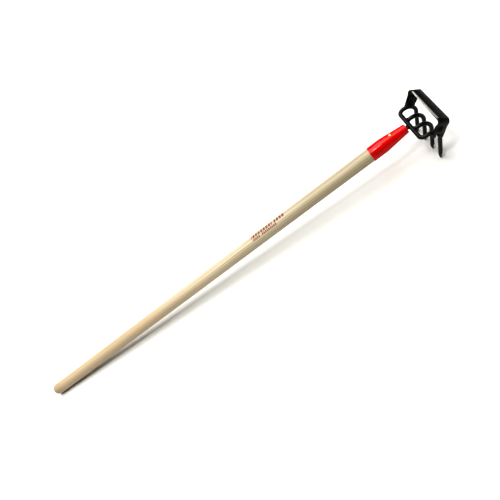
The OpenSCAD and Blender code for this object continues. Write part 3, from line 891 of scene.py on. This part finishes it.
stirrup.data.materials.append(enamel_black)
stirrup.data.materials.append(ground_steel())
edit(stirrup)
steep = math.sin(slope)
pick(stirrup, "FACE", lambda face: abs(abs(face.normal.x) - steep) < 0.05
     and abs(face.calc_center_median().y) < GRIND_LEN / 2 * MM
     and face.calc_center_median().z > (BLADE_TOP - STRAP_T - 1.0) * MM)
stirrup.active_material_index = 1
bpy.ops.object.material_slot_assign()
ease_edges(stirrup, 0.45, 3, 50.0)
lean_back = math.pi / 2 - (ARM_ANGLE + LIE)
settle(stirrup, pivot, (0.0, lean_back, 0.0))
shade(30.0)
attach(stirrup, "stirrup")
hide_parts("stirrup_loop")

# The pivots: on each side a shoulder bolt with a low domed head, a washer under the head,
# a washer between arm and lug, and a nut drawn up inside. All are steel in black oxide.

SHOULDER_R = 5.0
THREAD_R = 4.0
WASHER_R = 9.0
WASHER_T = 1.2
HEAD_R = 7.5
HEAD_H = 3.6
NUT_AF = 13.0
NUT_CORNER_R = NUT_AF / 2 / math.cos(math.pi / 6)
NUT_H = 4.0
NUT_FACE_R = NUT_AF / 2 - 0.3
THREAD_PITCH = 1.25
FACE_GAP = 0.01
EASY_FIT = 0.15
WEAR_Y = LUG_OUT_Y + FACE_GAP
HEAD_WASHER_Y = STRAP_OUT_Y + EASY_FIT
BOLT_HEAD_Y = HEAD_WASHER_Y + WASHER_T + FACE_GAP


def black_oxide():
    """Black oxide on machined steel: thin and satin over a fine grit, rubbed to grey in
    small patches by spanners and handling."""
    material = new_material("black_oxide_steel")
    place = tool_place(material)
    rub_mm = 2.63
    rub = node(material, "TexNoise", {"Vector": place, "Scale": per_metre(rub_mm), "Detail": 4.0})
    colour = blend_colour(material, ramp(material, rub.outputs["Fac"], 0.45, 0.75),
                          hex_colour("1B1B1D"), hex_colour("4A4946"))
    rough = ramp(material, rub.outputs["Fac"], 0.3, 0.7, 0.36, 0.5)
    grit_mm = 0.385
    grit = node(material, "TexNoise", {"Vector": place, "Scale": per_metre(grit_mm), "Detail": 2.0})
    skin = node(material, "Bump", {"Height": grit.outputs["Fac"], "Strength": 0.15, "Distance": 0.08 * MM})
    metal = node(material, "BsdfPrincipled", {
        "Base Color": colour, "Metallic": 0.85, "Roughness": rough, "Normal": skin.outputs["Normal"]})
    return finished(material, metal)


def washer(name):
    """A stamped washer: one side has a larger roll at its rim and bore than the other."""
    bore = SHOULDER_R + EASY_FIT
    return turned(name, [
        (0.0, bore), (0.0, WASHER_R - 0.15), (0.15, WASHER_R), (WASHER_T - 0.35, WASHER_R),
        (WASHER_T, WASHER_R - 0.4), (WASHER_T, bore + 0.3), (WASHER_T - 0.3, bore), (0.0, bore)], 48)


def shoulder_bolt(name):
    """The bolt along X, head outwards: thread with its crests, shoulder, and domed head."""
    thread_end = LUG_IN_Y - NUT_H - 1.0
    shoulder = LUG_OUT_Y + FACE_GAP
    crests = []
    x = thread_end + 0.8
    while x < shoulder - THREAD_PITCH:
        crests += [(x, THREAD_R - 0.45), (x + THREAD_PITCH / 2, THREAD_R)]
        x += THREAD_PITCH
    ball_r = (HEAD_R ** 2 + HEAD_H ** 2) / (2 * HEAD_H)
    rim_turn = math.degrees(math.asin((HEAD_R - 0.1) / ball_r))
    head = arc(BOLT_HEAD_Y + HEAD_H - ball_r, 0.0, ball_r, rim_turn, 4.0, 8)
    return turned(name, [(thread_end, 0.0), (thread_end, THREAD_R - 0.7)] + crests
                  + [(shoulder, THREAD_R - 0.3), (shoulder, SHOULDER_R - 0.2),
                     (shoulder + 0.2, SHOULDER_R), (BOLT_HEAD_Y, SHOULDER_R), (BOLT_HEAD_Y, HEAD_R - 0.1)]
                  + head + [(head[-1][0], 0.0)], 48)


def hex_nut(name):
    """A hexagon with both ends turned back to a cone at the corners, bored for the thread."""
    clear_selection()
    bpy.ops.mesh.primitive_cylinder_add(
        vertices=6, radius=NUT_CORNER_R * MM, depth=NUT_H * MM,
        location=(NUT_H / 2 * MM, 0.0, 0.0), rotation=(0.0, math.pi / 2, 0.0))
    nut = begin(name)
    drop = (NUT_CORNER_R - NUT_FACE_R) * math.tan(math.radians(30.0))
    cone = turned("nut_cone", [
        (0.0, 0.0), (0.0, NUT_FACE_R), (drop, NUT_CORNER_R), (NUT_H - drop, NUT_CORNER_R),
        (NUT_H, NUT_FACE_R), (NUT_H, 0.0)], 48)
    cut(nut, cone, "INTERSECT")
    bore = turned("nut_bore", [
        (-1.0, 0.0), (-1.0, THREAD_R + 1.6), (0.6, THREAD_R), (NUT_H - 0.6, THREAD_R),
        (NUT_H + 1.0, THREAD_R + 1.6), (NUT_H + 1.0, 0.0)], 32)
    cut(nut, bore)
    return nut


oxide_black = black_oxide()
for stem, made, out_y in (
        ("wear_washer_", washer("black_wear_washer_left"), WEAR_Y),
        ("head_washer_", washer("black_head_washer_left"), HEAD_WASHER_Y),
        ("pivot_bolt_", shoulder_bolt("black_pivot_bolt_left"), 0.0),
        ("pivot_nut_", hex_nut("black_pivot_nut_left"), LUG_IN_Y - FACE_GAP - NUT_H)):
    settle(made, (pivot.x, out_y * MM, pivot.z), (0.0, 0.0, math.pi / 2))
    shade(30.0)
    right = mirrored(made, "black_" + stem + "right")
    for piece, side in ((made, "left"), (right, "right")):
        piece.data.materials.append(oxide_black)
        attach(piece, "cultivator")
        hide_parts(stem + side)

clear_selection()
bpy.context.view_layer.update()
